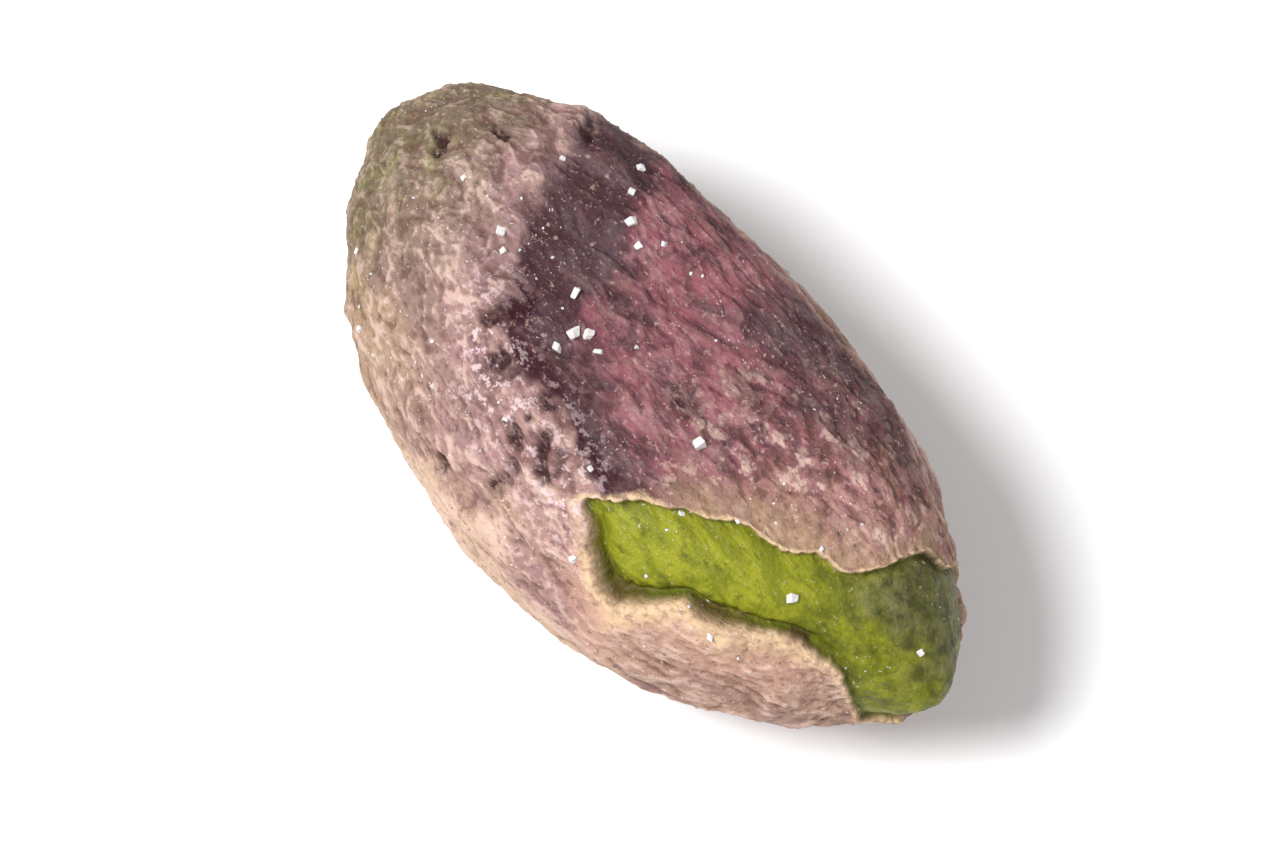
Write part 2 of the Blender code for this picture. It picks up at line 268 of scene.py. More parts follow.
class Form:
    """The kernel's surface in its own axes, for an array of unit directions, with the facts that the
    finer relief and the colours need."""

    def __init__(self, aims):
        self.aims = unit(aims)
        self.points = self.faceted(self.plump())
        self.outward = unit(self.aims / np.array([LENGTH, WIDTH, THICKNESS]))
        self.x, self.y, self.z = self.points.T
        self.from_scar = np.linalg.norm(self.aims - unit(SCAR_AIM), axis=1)
        self.measure_tear()
        self.measure_dish()
        self.measure_seam()

    def bow(self):
        return BOW * self.aims[:, 0] ** 2

    def plump(self):
        """The round form: an ellipsoid with slimmer ends, a narrower tip and a bowed axis."""
        along, across, up = self.aims.T
        girth = (1.0 - TIP_TAPER * along) * (1.0 - POINTED_ENDS * along**4)
        return np.column_stack(
            (
                0.5 * LENGTH * along,
                0.5 * WIDTH * across * girth + self.bow(),
                0.5 * THICKNESS * up * girth,
            )
        )

    @staticmethod
    def faceted(points):
        """The round form with its blunt sides: each facet is a soft cut by a plane."""
        for facing, taken in FACETS:
            way = unit(facing)
            reach = 0.5 * np.linalg.norm(way * np.array([LENGTH, WIDTH, THICKNESS]))
            past = (points @ way - reach + taken) / FACET_SOFTNESS
            points = points - np.outer(FACET_SOFTNESS * np.log1p(np.exp(past)), way)
        return points

    def measure_tear(self):
        """Distances inside the tear's edges, which are ragged, and the share of skin torn away."""
        bites = BITE_REACH * blobs(self.points, BITE_SIZE, BITE_SHIFT)
        nicks = NICK_REACH * (NICK_LEVEL - np.abs(blobs(self.points, NICK_SIZE, NICK_SHIFT)))
        ragged = bites + nicks
        far_bites = blobs(self.points, FAR_BITE_SIZE, FAR_BITE_SHIFT)
        far = FAR_BITE_REACH * far_bites * smooth_step(*FAR_SIDE, self.y)
        self.from_lower = self.y - curve(self.x, TEAR_ALONG, TEAR_LOWER) - LOWER_EDGE_CALMER * ragged
        self.from_upper = curve(self.x + far, TEAR_ALONG, TEAR_UPPER) - self.y + ragged
        from_start = self.x - TEAR_ALONG[0] + ragged
        from_under = self.z - TEAR_TURNS_UNDER + ragged + UNDER_BITE_REACH * far_bites
        edges = (self.from_lower, self.from_upper, from_start, from_under)
        self.in_tear = soft_least(edges, TEAR_CORNER)
        self.torn = smooth_step(-0.5 * TEAR_EDGE, 0.5 * TEAR_EDGE, self.in_tear)
        standing = smooth_step(TEAR_ALONG[0] - LIP_STARTS, TEAR_ALONG[1], self.x)
        standing *= smooth_step(TEAR_TURNS_UNDER - LIP_STARTS, TEAR_TURNS_UNDER + LIP_STARTS, self.z)
        self.lip_share = standing * (1.0 - smooth_step(*LIP_FADES, self.x))

    def measure_dish(self):
        """Distance inside the dished face: from its rim, and past the tear from the tear's upper edge."""
        self.from_rim = self.y - curve(self.x, DISH_RIM_ALONG, DISH_RIM_ACROSS)
        past_tear = np.minimum(self.from_rim, -self.from_upper)
        self.in_dish = np.where(self.x > TEAR_ALONG[0], past_tear, self.from_rim)

    def measure_seam(self):
        level = np.zeros_like(self.x)
        wander = SEAM_WANDER * blobs(np.column_stack((self.x, level, level)), SEAM_WANDER_LENGTH, SEAM_SHIFT)
        off_axis = self.y - self.bow()
        self.from_seam = off_axis * math.cos(SEAM_LEAN) + self.z * math.sin(SEAM_LEAN) + wander
        turned = self.aims[:, 1] * math.sin(SEAM_LEAN) - self.aims[:, 2] * math.cos(SEAM_LEAN)
        self.seam_share = smooth_step(*SEAM_SIDE, turned)

    def broad_relief(self):
        """What the solid has too: dish, rim, seam, nib, scar, lumps and the larger wrinkles."""
        along = (self.x - DISH_AT[0]) / DISH_HALF_LENGTH
        across = (self.y - DISH_AT[1]) / DISH_HALF_WIDTH
        dish = DISH_DEPTH * np.exp(-((along**2 + across**2) ** DISH_FALL))
        rim = RIM_HEIGHT * bell(self.from_rim + RIM_HALF_WIDTH, RIM_HALF_WIDTH)
        rim = rim * smooth_step(0.0, 2.0 * RIM_HALF_WIDTH, self.z)
        rim = rim * (1.0 - smooth_step(DISH_RIM_ALONG[-2], DISH_RIM_ALONG[-1], self.x))
        upper = self.z > 0.0
        seam = SEAM_DEPTH * self.seam_share * bell(self.from_seam, SEAM_HALF_WIDTH)
        nib = NIB_HEIGHT * bell(np.linalg.norm(self.aims - unit(NIB_AIM), axis=1), NIB_SPREAD)
        scar = SCAR_RIM_HEIGHT * bell(self.from_scar - SCAR_RIM_AT, SCAR_RIM_SPREAD)
        scar -= SCAR_DEPTH * bell(self.from_scar, SCAR_SPREAD)
        lumps = LUMP_HEIGHT * blobs(self.points, LUMP_SIZE, LUMP_SHIFT)
        wrinkles = WRINKLE_HEIGHT * (WRINKLE_LEVEL - np.abs(blobs(self.points, WRINKLE_SIZE, WRINKLE_SHIFT)))
        skin = (1.0 - FLESH_IS_SMOOTHER * self.torn) * (lumps + wrinkles)
        return upper * (rim - dish) - seam + nib + scar + skin

    def tear_relief(self):
        """The sunk flesh, the curled edge of the skin round it, the crevice and the lip."""
        swell = FLESH_SWELL * smooth_step(0.0, FLESH_SWELL_WIDTH, self.in_tear)
        sunk = self.torn * (swell - TEAR_DEPTH)
        curl = EDGE_CURL * bell(self.in_tear + EDGE_CURL_WIDTH, EDGE_CURL_WIDTH) * (1.0 - self.torn)
        crevice = CREVICE_DEPTH * bell(self.from_lower - CREVICE_AT, CREVICE_HALF_WIDTH)
        lip_side = smooth_step(TEAR_EDGE, -TEAR_EDGE, self.from_lower)
        lip = LIP_HEIGHT * bell(self.from_lower + LIP_AT, LIP_HALF_WIDTH) * lip_side
        return sunk + curl + self.lip_share * (lip - crevice)

    def measure_pits(self):
        """1 in the middle of a pit, 0 outside all of them. Each has an outline of its own."""
        loose = PIT_EDGE_REACH * blobs(self.points, PIT_EDGE_SIZE, PIT_EDGE_SHIFT)
        away = [np.hypot((self.x - x) / PIT_LENGTHENED, self.y - y) / size for x, y, size in PITS_AT]
        nearest = np.min(away, axis=0) + loose
        self.pits = smooth_step(PIT_RADIUS, PIT_FLOOR_RADIUS, nearest) * (self.z > 0.0)

    def fine_relief(self):
        """Veins, folds, furrows and pits of the thin skin, and the faint lines of the bare flesh."""
        warp = [blobs(self.points, WARP_SIZE, shift) for shift in WARP_SHIFTS]
        warped = self.points + WARP_REACH * np.column_stack(warp)
        swells = blobs(warped, SWELL_SIZE, SWELL_SHIFT)
        veins = bend_lines(warped, VEIN_SIZE, VEIN_SHIFT)
        folds = bend_lines(warped, FOLD_SIZE, FOLD_SHIFT)
        furrows = bend_lines(warped, FURROW_SIZE, FURROW_SHIFT)
        crumples = bend_lines(warped, CRUMPLE_SIZE, CRUMPLE_SHIFT)
        grain = blobs(self.points, GRAIN_SIZE, GRAIN_SHIFT)
        self.measure_pits()
        parts = (swells, veins, folds, furrows, crumples, grain)
        self.heights = sum(share * part for share, part in zip(HEIGHT_SHARES, parts))
        skin = SWELL_HEIGHT * swells + VEIN_HEIGHT * veins + FOLD_HEIGHT * folds - FURROW_DEPTH * furrows
        skin += CRUMPLE_HEIGHT * crumples + GRAIN_HEIGHT * grain - PIT_DEPTH * self.pits
        flesh = FLESH_LINE_HEIGHT * blobs(self.points, FLESH_LINE_SIZE, FLESH_LINE_SHIFT)
        flesh += FLESH_GRAIN_HEIGHT * grain + FLESH_CRUMPLE_HEIGHT * crumples
        return skin * (1.0 - self.torn) + flesh * self.torn

    def flank_relief(self):
        """The swelling of the rounder flank."""
        along = bell(self.x - FLANK_SWELL_AT, FLANK_SWELL_LENGTH)
        return FLANK_SWELL * smooth_step(*FLANK_SWELL_ACROSS, self.y) * along

    def surface(self):
        """The finished surface, in the way that it lies: the flat spot at z = 0 and nothing below it."""
        relief = self.broad_relief() + self.flank_relief() + self.tear_relief() + self.fine_relief()
        points = self.points + self.outward * relief[:, None]
        turn = np.array(Matrix.Rotation(ROLL, 3, "X"))
        points = points @ turn.T + np.array([-FLAT_SPOT_AT[0], -FLAT_SPOT_AT[1], REST_HEIGHT])
        points[:, 2] = np.maximum(points[:, 2], 0.0)
        return points


# Patches and finer specks, by which the colours' edges wander
PATCH_SIZE = (1.1 * MM, 0.7 * MM, 0.7 * MM)
PATCH_SHIFT = (3.3, 6.6, 2.2)
SPECK_SIZE = (0.35 * MM, 0.26 * MM, 0.26 * MM)
SPECK_SHIFT = (1.1, 4.2, 8.5)
SPECK_SHARE = 0.7

# Where the dished face changes its colour. A pair of places runs from where a change starts to where it
# is full, along the kernel unless the comment says otherwise. Each edge wanders by its own share of the
# patches
DISH_EDGE_WANDERS = 0.34 * MM
DISH_EDGE_BULGES = (  # where along the kernel, how far, and over what length
    (-1.6 * MM, 0.40 * MM, 0.60 * MM),
    (1.1 * MM, 0.24 * MM, 0.90 * MM),
)
DISH_EDGE_SOFTNESS = (0.18 * MM, 0.68 * MM)
DISH_EDGE_SOFTENS = (-3.0 * MM, -4.8 * MM)
DISH_FACES_UP = (0.0, 0.30)  # the surface's turn upwards
DISH_FACING_WANDERS = 0.14
RIM_WANDERS = 0.30 * MM
DARK_BAND_WIDTHS = (0.85 * MM, 3.3 * MM)  # of the violet band inside the rim
DARK_BAND_WIDENS = (-0.7 * MM, -3.0 * MM)
DARK_BAND_FADES = (-0.3 * MM, 0.9 * MM)  # before and past its width
DARK_BAND_ENDS = (3.0 * MM, 1.0 * MM)
# Painted shade on the straighter flank, which is turned from the light
FLANK_SHADE_ACROSS = (2.4 * MM, 3.4 * MM)  # across the kernel
FLANK_SHADE_STARTS = (-0.6 * MM, 1.2 * MM)
FLANK_SHADE_ENDS = (6.2 * MM, 4.3 * MM)
FLANK_SHADE_WANDERS = 0.6 * MM
FLANK_SHADE_SHARE = 0.8
# The darkest line along the rim: deep violet skin with painted shade in the fold inside the rim
RIM_LINE_WIDTHS = (0.75 * MM, 0.25 * MM)  # of the darkest line, from the rim into the dish
RIM_LINE_STARTS = (-3.4 * MM, -2.4 * MM)
RIM_LINE_ENDS = (2.2 * MM, 1.4 * MM)
BUFF_EDGE_WIDTHS = (1.5 * MM, 0.4 * MM)  # of the paler strip above the tear
BUFF_EDGE_STARTS = (1.8 * MM, 3.4 * MM)
BUFF_EDGE_WANDERS = 0.3 * MM
TURNS_ROSY = (2.0 * MM, 6.5 * MM)
TURNS_MOTTLED = (-0.5 * MM, 3.5 * MM)

# Where the skin outside the dish changes its colour
LAVENDER_REACH = (-3.4 * MM, -0.8 * MM)  # from the rim outwards, across the kernel
LAVENDER_WANDERS = 0.8 * MM
LAVENDER_ENDS = (4.5 * MM, 1.5 * MM)
LAVENDER_HEIGHT = (0.0, 2.0 * MM)  # above the kernel's middle
DUSKY_FROM_RIM = 0.6 * MM
DUSKY_WIDTH = 0.65 * MM
DUSKY_PATCHES = (-0.6, 0.2)
DUSKY_STARTS = (-6.5 * MM, -4.5 * MM)
DUSKY_ENDS = (-1.2 * MM, -2.2 * MM)
CAKED_FROM_RIM = 0.8 * MM
CAKED_WIDTH = 0.9 * MM
CAKED_STARTS = (-4.6 * MM, -2.4 * MM)
CAKED_ENDS = (2.4 * MM, 1.2 * MM)
TURNS_ASHEN = (0.5 * MM, -5.0 * MM)
ASHEN_WANDERS = 0.8 * MM
TURNS_OLIVE = (-4.4 * MM, -7.3 * MM)
OLIVE_WANDERS = 1.0 * MM
OLIVE_FADES_BELOW = (0.1, -0.6)  # the surface's turn upwards
OLIVE_FADES_BY = 0.75
SANDY_ACROSS = (-1.4 * MM, -2.6 * MM)  # across the kernel
SANDY_ALONG = (-2.0 * MM, -4.8 * MM)
SANDY_WANDERS = 0.6 * MM
# Painted light on the rounder, lower flank, where it faces the light
LIT_FLANK_ACROSS = (-3.4 * MM, -4.1 * MM)  # across the kernel
LIT_FLANK_STARTS = (-4.4 * MM, -2.6 * MM)
LIT_FLANK_ENDS = (5.0 * MM, 3.2 * MM)
LIT_FLANK_FADES_BELOW = (0.2, 0.7)  # the surface's turn downwards
LIT_FLANK_WANDERS = 0.5 * MM

# Colours along the tear, of the seam and of the scar
# Where the flesh turns olive and mottled on the tip's far side
TIP_SIDE_ACROSS = (0.2 * MM, 1.4 * MM)  # across the kernel
TIP_SIDE_ALONG = (5.8 * MM, 6.8 * MM)
TIP_SIDE_WANDERS = 0.5 * MM
# The pale torn edge of the skin, widened along the raised lip into a painted highlight
TORN_EDGE_WIDTHS = (0.12 * MM, 0.60 * MM)  # of the pale torn edge: elsewhere, and along the lip
TORN_EDGE_WANDERS = 0.12 * MM
TORN_EDGE_WIDENS = (2.8 * MM, 1.4 * MM)  # towards the tear's start
TORN_EDGE_WIDENS_BY = 0.4
TORN_EDGE_SOLID_FROM = 0.3  # share of its width, from the tear outwards
LIP_PALES = (1.3 * MM, 2.6 * MM)  # the lip is less pale where it starts
# Painted shade in the crevice under the lip and in the seam's furrow, and the scar darker
CREVICE_SHADE_AT = 0.04 * MM  # in from the tear's lower edge
CREVICE_SHADE_WIDTH = 0.15 * MM
CREVICE_SHADE_PATCHES = (-0.4, 0.3)
CREVICE_SHADE_STRENGTH = 0.9
SEAM_SHADE_WIDTH = 0.8 * SEAM_HALF_WIDTH
SEAM_SHADE_SHARE = 0.7
SCAR_COLOUR_SPREAD = 1.1 * SCAR_SPREAD
SHADE_STARTS = (1.9 * MM, 3.0 * MM)
SHADE_LIGHTENS = (3.8 * MM, 6.0 * MM)
SHADE_LIGHTENS_BY = 0.4
LOWER_SHADE_WIDTH = 0.32 * MM
EDGE_SHADE_WIDTH = 0.42 * MM
EDGE_SHADE_SHARE = 0.30
LIP_COLOUR_AT = 0.55 * MM  # out from the tear's lower edge
LIP_COLOUR_WIDTH = 0.60 * MM


def patchiness(form):
    patches = blobs(form.points, PATCH_SIZE, PATCH_SHIFT)
    return patches + SPECK_SHARE * blobs(form.points, SPECK_SIZE, SPECK_SHIFT)


def dish_facts(form, patchy):
    """The dished face, the dark band and line inside its rim, painted shade on its flank turned from the
    light, and its paler strip.
    """
    bulge = sum(reach * bell(form.x - at, length) for at, reach, length in DISH_EDGE_BULGES)
    in_dish = form.in_dish + bulge + DISH_EDGE_WANDERS * patchy
    softness = between(DISH_EDGE_SOFTNESS, smooth_step(*DISH_EDGE_SOFTENS, form.x))
    facing = smooth_step(*DISH_FACES_UP, form.outward[:, 2] + DISH_FACING_WANDERS * patchy)
    past_rim = in_dish + RIM_WANDERS * patchy
    width = between(DARK_BAND_WIDTHS, smooth_step(*DARK_BAND_WIDENS, form.x))
    band = smooth_step(width + DARK_BAND_FADES[1], width + DARK_BAND_FADES[0], past_rim)
    band = band * smooth_step(*DARK_BAND_ENDS, form.x)
    # Painted shade on the straighter flank, which is turned from the light
    flank = smooth_step(*FLANK_SHADE_ACROSS, form.y + FLANK_SHADE_WANDERS * patchy)
    flank = flank * smooth_step(*FLANK_SHADE_STARTS, form.x) * smooth_step(*FLANK_SHADE_ENDS, form.x)
    # The darkest line: deep violet skin with painted shade in the fold inside the rim
    line = smooth_step(*RIM_LINE_WIDTHS, past_rim)
    line = line * smooth_step(*RIM_LINE_STARTS, form.x) * smooth_step(*RIM_LINE_ENDS, form.x)
    strip = smooth_step(*BUFF_EDGE_WIDTHS, BUFF_EDGE_WANDERS * patchy - form.from_upper)
    return {
        "dish": smooth_step(-softness, softness, in_dish) * facing,
        "violet_band_and_flank_shade": np.maximum(band, FLANK_SHADE_SHARE * flank),
        "rim_line_violet_and_shade": line,
        "buff_strip": strip * smooth_step(*BUFF_EDGE_STARTS, form.x),
        "rosy": smooth_step(*TURNS_ROSY, form.x),
        "mottled": smooth_step(*TURNS_MOTTLED, form.x),
    }


def skin_facts(form, patchy):
    """The lavender and dusky skin outside the rim, the salt caked on it, the ashen and olive base, and
    painted light on the lower flank.
    """
    lavender = smooth_step(*LAVENDER_REACH, form.from_rim + LAVENDER_WANDERS * patchy)
    lavender = lavender * smooth_step(*LAVENDER_ENDS, form.x) * smooth_step(*LAVENDER_HEIGHT, form.z)
    dusky = bell(form.from_rim + DUSKY_FROM_RIM, DUSKY_WIDTH) * smooth_step(*DUSKY_PATCHES, patchy)
    dusky = dusky * smooth_step(*DUSKY_STARTS, form.x) * smooth_step(*DUSKY_ENDS, form.x)
    caked = bell(form.from_rim + CAKED_FROM_RIM, CAKED_WIDTH) * (form.z > 0.0)
    caked = caked * smooth_step(*CAKED_STARTS, form.x) * smooth_step(*CAKED_ENDS, form.x)
    olive = smooth_step(*TURNS_OLIVE, form.x + OLIVE_WANDERS * patchy)
    olive = olive * (1.0 - OLIVE_FADES_BY * smooth_step(*OLIVE_FADES_BELOW, form.outward[:, 2]))
    sandy = smooth_step(*SANDY_ACROSS, form.y + SANDY_WANDERS * patchy) * smooth_step(*SANDY_ALONG, form.x)
    # Painted light on the rounder, lower flank
    pale = smooth_step(*LIT_FLANK_ACROSS, form.y + LIT_FLANK_WANDERS * patchy)
    pale = pale * smooth_step(*LIT_FLANK_STARTS, form.x) * smooth_step(*LIT_FLANK_ENDS, form.x)
    pale = pale * (1.0 - smooth_step(*LIT_FLANK_FADES_BELOW, -form.outward[:, 2]))
    return {
        "sandy": sandy,
        "painted_flank_light": pale,
        "lavender": lavender,
        "dusky": dusky,
        "caked": caked,
        "ashen": smooth_step(*TURNS_ASHEN, form.x + ASHEN_WANDERS * patchy),
        "olive": olive,
        "pits": form.pits * (1.0 - form.torn),
        "heights": HEIGHT_LEVEL + HEIGHT_RANGE * form.heights,
    }


def tear_facts(form, patchy):
    """The bare flesh, its olive tone on the tip's far side and its painted shade, the pale edge round it
    with a painted highlight along the lip, the lip, painted shade in the crevice and seam, and the darker
    scar.
    """
    tip_side = smooth_step(*TIP_SIDE_ACROSS, form.y + TIP_SIDE_WANDERS * patchy)
    tip_side = tip_side * smooth_step(*TIP_SIDE_ALONG, form.x)
    on_lip = form.lip_share * (form.from_lower < 0.0) * (form.from_upper > 0.0)
    pales = smooth_step(*LIP_PALES, form.x)
    widened = TORN_EDGE_WIDENS_BY * smooth_step(*TORN_EDGE_WIDENS, form.x)
    width = between(TORN_EDGE_WIDTHS, np.maximum(on_lip, widened))
    # The pale torn edge, widened along the raised lip into a painted highlight
    edge = smooth_step(-width, -TORN_EDGE_SOLID_FROM * width, form.in_tear + TORN_EDGE_WANDERS * patchy)
    edge = edge * (form.z > TEAR_TURNS_UNDER) * (1.0 - form.torn) * (1.0 - on_lip * (1.0 - pales))
    shaded = smooth_step(*SHADE_STARTS, form.x)
    # Painted shade in the crevice under the lip
    crevice = CREVICE_SHADE_STRENGTH * bell(form.from_lower - CREVICE_SHADE_AT, CREVICE_SHADE_WIDTH)
    crevice = crevice * form.lip_share * smooth_step(*CREVICE_SHADE_PATCHES, patchy) * shaded
    # Painted shade in the seam's furrow, and the scar darker
    seam = SEAM_SHADE_SHARE * form.seam_share * bell(form.from_seam, SEAM_SHADE_WIDTH)
    scar = bell(form.from_scar, SCAR_COLOUR_SPREAD)
    shade = smooth_step(LOWER_SHADE_WIDTH, 0.0, form.from_lower) * shaded
    shade = shade * (1.0 - SHADE_LIGHTENS_BY * smooth_step(*SHADE_LIGHTENS, form.x))
    shade = np.maximum(shade, EDGE_SHADE_SHARE * smooth_step(EDGE_SHADE_WIDTH, 0.0, form.in_tear))
    return {
        "torn": form.torn,
        "far_tip_tone": tip_side * form.torn,
        "torn_edge_and_lip_highlight": edge,
        "crevice": np.maximum.reduce((crevice, seam, scar)),
        "flesh_shade": shade * form.torn,
        "lip": form.lip_share * pales * bell(form.from_lower + LIP_COLOUR_AT, LIP_COLOUR_WIDTH),
    }


def directions(bm):
    return np.array([vert.co.normalized() for vert in bm.verts])


def split_where(bm, wanted):
    """Splits each face in four where wanted says so for its middle, and keeps all faces triangles."""
    bm.faces.ensure_lookup_table()
    middles = np.array([face.calc_center_median() for face in bm.faces])
    chosen = wanted(Form(middles))
    edges = {edge for face, yes in zip(bm.faces, chosen) if yes for edge in face.edges}
    bmesh.ops.subdivide_edges(bm, edges=list(edges), cuts=1, use_grid_fill=True)
    bmesh.ops.triangulate(bm, faces=[face for face in bm.faces if len(face.verts) > 3])


def shown(form):
    """Faces that are seen well from above the kernel."""
    turned_up = form.outward[:, 2] * math.cos(ROLL) + form.outward[:, 1] * math.sin(ROLL)
    return turned_up > SHOWN_FROM


def by_tear(form):
    return np.abs(form.in_tear) < TEAR_BAND


def build_seed():
    """The seed's mesh, with the facts that its material mixes its colours by kept on its points."""
    bm = bmesh.new()
    bmesh.ops.create_icosphere(bm, subdivisions=SPHERE_LEVEL, radius=1.0)
    split_where(bm, shown)
    split_where(bm, by_tear)
    form = Form(directions(bm))
    points = form.surface()
    patchy = patchiness(form)
    facts = {**dish_facts(form, patchy), **skin_facts(form, patchy), **tear_facts(form, patchy)}
    for vert, point in zip(bm.verts, points.tolist()):
        vert.co = point
    bmesh.ops.recalc_face_normals(bm, faces=bm.faces[:])
    mesh = bpy.data.meshes.new("seed")
    bm.to_mesh(mesh)
    bm.free()
    mesh.shade_smooth()
    for name, values in facts.items():
        shares = np.clip(values, 0.0, 1.0).astype(np.float32)
        mesh.attributes.new(name, "FLOAT", "POINT").data.foreach_set("value", shares)
    seed = bpy.data.objects.new("seed", mesh)
    bpy.context.scene.collection.objects.link(seed)
    return seed


# Colours, as linear red, green and blue
TAN = (0.345, 0.212, 0.160)
MAUVE = (0.270, 0.152, 0.138)
VALLEY = (0.110, 0.052, 0.040)
RIDGE = (0.62, 0.440, 0.372)
BUFF = (0.36, 0.250, 0.135)
ASHEN = (0.240, 0.165, 0.142)
STRIP_BUFF = (0.37, 0.250, 0.150)
SANDY = (0.40, 0.265, 0.150)
LIT_FLANK = (0.66, 0.47, 0.33)
VIOLET = (0.043, 0.019, 0.024)
DEEP_VIOLET = (0.034, 0.006, 0.012)
GREY_VIOLET = (0.118, 0.078, 0.090)
MAGENTA = (0.250, 0.083, 0.103)
BLOOM = (0.36, 0.186, 0.202)
ROSE = (0.45, 0.240, 0.215)
BROWN = (0.115, 0.050, 0.045)
LAVENDER = (0.345, 0.200, 0.205)
DUSK = (0.170, 0.092, 0.100)
OLIVE = (0.095, 0.082, 0.032)
LEAF = (0.180, 0.180, 0.060)
FAR_TIP_OLIVE = (0.150, 0.140, 0.062)
FAR_TIP_DARK = (0.048, 0.043, 0.018)
GREEN = (0.158, 0.172, 0.010)
BRIGHT_GREEN = (0.26, 0.265, 0.017)
DARK_GREEN = (0.050, 0.057, 0.008)
CREAM = (0.66, 0.47, 0.29)
LIP_PINK = (0.465, 0.275, 0.203)
# Painted shade in the crevice and the seam, and the darker scar
CREVICE_SHADE_BROWN = (0.085, 0.045, 0.022)
# Near black in the pits: dark violet skin and painted shade
PIT_VIOLET_AND_SHADE = (0.030, 0.007, 0.010)
SALT_WHITE = (0.86, 0.84, 0.80)
SALT_GREY = (0.58, 0.55, 0.54)
SALT_BRIGHT = (0.75, 0.73, 0.72)
CAKED_PINK = (0.74, 0.57, 0.58)

# Colour patterns: the size of their blobs along x, y and z, their detail, where the noise is read, and how
# rough it is
MOTTLES = ((2.4 * MM, 1.5 * MM, 1.5 * MM), 4.0, (3.1, 0.4, 7.7), 0.6)
STREAKS = ((2.2 * MM, 0.40 * MM, 0.40 * MM), 4.0, (0.3, 6.2, 1.9), 0.6)
PATCHES = ((0.9 * MM, 0.7 * MM, 0.7 * MM), 3.0, (4.4, 1.2, 6.1), 0.6)
BLOTCHES = ((1.5 * MM, 0.9 * MM, 0.9 * MM), 4.0, (5.5, 2.2, 0.1), 0.65)
BLOOM_PATCHES = ((1.3 * MM, 0.6 * MM, 0.6 * MM), 5.0, (1.5, 7.3, 4.9), 0.7)
BLOTS = ((0.85 * MM, 0.70 * MM, 0.70 * MM), 3.0, (3.7, 5.8, 9.3), 0.6)
FRECKLES = ((0.54 * MM, 0.42 * MM, 0.42 * MM), 3.0, (2.9, 8.4, 0.7), 0.65)
FLESH_SPOTS = ((0.52 * MM, 0.38 * MM, 0.38 * MM), 4.0, (6.3, 0.5, 1.8), 0.65)
CLUMPS = ((0.30 * MM, 0.24 * MM, 0.24 * MM), 3.0, (9.0, 3.0, 5.0), 0.7)
GRAIN_SPOTS = ((0.17 * MM, 0.13 * MM, 0.13 * MM), 3.0, (7.0, 1.0, 3.0), 0.65)
FLECKS = ((0.09 * MM, 0.08 * MM, 0.08 * MM), 2.0, (1.0, 4.0, 8.0), 0.6)
DUST_PATCHES = ((1.6 * MM, 1.6 * MM, 1.6 * MM), 2.0, (6.0, 6.0, 2.0), 0.55)
FLESH_STREAKS = ((1.4 * MM, 0.28 * MM, 0.28 * MM), 4.0, (2.0, 9.1, 4.4), 0.65)
FROST = ((0.08 * MM, 0.08 * MM, 0.08 * MM), 2.0, (0.0, 0.0, 0.0), 0.55)

# How a pattern or a fact turns into the share of a colour: from which value to which, and the shares at
# both where they aren't 0 and 1. First the skin outside the dish
MAUVE_MOTTLES = (0.40, 0.60)
BUFF_STREAKS = (0.52, 0.70, 0.0, 0.5)
LEAF_PATCHES = (0.50, 0.64)
OLIVE_MOTTLES = (0.3, 0.6, 0.95, 0.60)
LAVENDER_PATCHES = (0.36, 0.60, 0.85, 0.45)
LIP_IS_PLAINER = (0.0, 1.0, 1.0, 0.40)
OLIVE_IS_PLAINER = (0.0, 1.0, 1.0, 0.45)
DARK_FRECKLES = (0.46, 0.34, 0.0, 0.45)
PALE_FRECKLES = (0.56, 0.70, 0.0, 0.35)
# Valleys darkened: reddish brown skin and painted shade
SKIN_VALLEY_SHADE = (0.50, 0.10, 0.0, 0.65)
SKIN_RIDGES = (0.55, 0.95, 0.0, 0.62)

# The dished face
VIOLET_BLOTCHES = (0.42, 0.68)
PINK_BLOOM = (0.48, 0.64, 0.0, 0.55)
DARK_BLOTS = (0.47, 0.36, 0.0, 0.45)
PALE_BLOTS = (0.54, 0.66, 0.0, 0.42)
MAGENTA_STREAKS = (0.4, 0.6)
BROWNED_PATCHES = (0.44, 0.62)
BROWN_FRECKLES = (0.49, 0.38, 0.0, 0.85)
DISH_PALE_FRECKLES = (0.53, 0.65, 0.0, 0.75)
GREY_BLOTCHES = (0.46, 0.60, 0.0, 0.6)
# Valleys darkened: violet skin and painted shade
DISH_VALLEY_SHADE = (0.48, 0.15, 0.0, 0.52)
DISH_RIDGES = (0.58, 0.95)
DARK_BAND_RIDGES = (0.0, 1.0, 0.50, 0.20)
DISH_PALE_GRAIN = (0.60, 0.74, 0.0, 0.30)

# The bare flesh
BRIGHT_STREAKS = (0.38, 0.62)
DARK_FLESH_SPOTS = (0.45, 0.34, 0.0, 0.50)
# Painted shade round the tip: where it starts, and the spots that spread it
FLESH_NEARS_TIP = (0.92, 1.0)
TIP_FLESH_SHADE_SPOTS = (0.66, 0.36, 0.05, 0.58)
FAR_TIP_SPOTS = (0.34, 0.66)
FAR_TIP_STREAKS = (0.34, 0.60, 0.52, 0.90)

# The whole seed
DARK_GRAIN = (0.46, 0.30, 0.0, 0.60)
PALE_GRAIN = (0.58, 0.74)
RIM_LINE_PALE_GRAIN = (0.0, 1.0, 0.40, 0.12)
TORN_EDGE_GRAIN = (0.40, 0.56, 0.45, 0.95)
CAKED_CLUMPS = (0.52, 0.62, 0.0, 0.75)
PIT_GRAIN = (0.62, 0.45, 0.55, 0.95)
DUST_FLECKS = (0.65, 0.73)
DUSTED_PATCHES = (0.40, 0.62, 0.10, 0.6)

